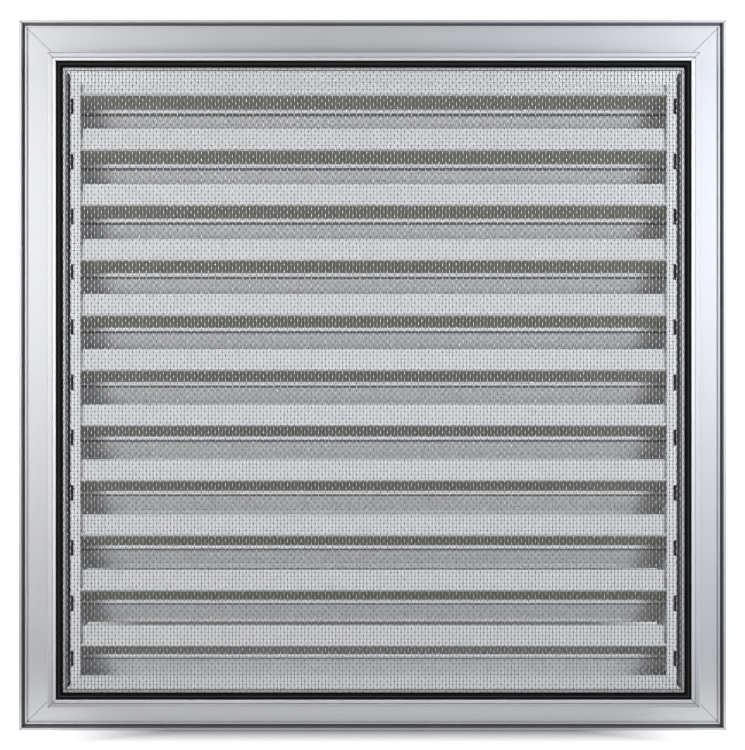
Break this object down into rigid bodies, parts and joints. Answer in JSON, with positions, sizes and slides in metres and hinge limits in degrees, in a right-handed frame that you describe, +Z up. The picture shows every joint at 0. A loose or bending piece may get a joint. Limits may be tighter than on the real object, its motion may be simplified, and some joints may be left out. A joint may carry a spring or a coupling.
{
  "type": "wall vent grille",
  "caption": "Flanged aluminium wall louvre with fixed cranked blades and an insect mesh held by a rubber spline on the back.",
  "frame": {"origin": "centre of the grille, in the plane of the outer wall face that the rim of the flange rests on", "axes": "+Y points outdoors, away from the wall, +Z is up and +X completes them; the hollow body and the mesh lie towards -Y, inside the wall opening"},
  "size_m": [0.667, 0.058, 0.67],
  "materials": {
    "frame_anodised": "satin clear anodised, drawn grain along the extrusion",
    "cassette_anodised": "satin clear anodised",
    "blade_anodised": "satin clear anodised, drawn grain along the blade",
    "cleat_metal": "mill finish",
    "mesh_wire": "fine drawn wire, plain weave",
    "screw_black": "black coated steel",
    "spline_rubber": "matt black, ribbed"
  },
  "bodies": {
    "root": {"frame_bottom": "frame_anodised", "frame_left": "frame_anodised", "frame_top": "frame_anodised", "frame_right": "frame_anodised", "corner_cleat_bottom_left": "cleat_metal", "corner_cleat_top_left": "cleat_metal", "corner_cleat_top_right": "cleat_metal", "corner_cleat_bottom_right": "cleat_metal", "head_strip": "cassette_anodised", "sill_strip": "cassette_anodised", "blade_carrier_left": "cassette_anodised", "blade_carrier_right": "cassette_anodised", "blade_01": "blade_anodised", "blade_02": "blade_anodised", "blade_03": "blade_anodised", "blade_04": "blade_anodised", "blade_05": "blade_anodised", "blade_06": "blade_anodised", "blade_07": "blade_anodised", "blade_08": "blade_anodised", "blade_09": "blade_anodised", "blade_10": "blade_anodised", "blade_11": "blade_anodised", "blade_screws_left": "screw_black", "blade_screws_right": "screw_black", "mesh_spline": "spline_rubber", "insect_mesh": "mesh_wire"}
  },
  "joints": []
}
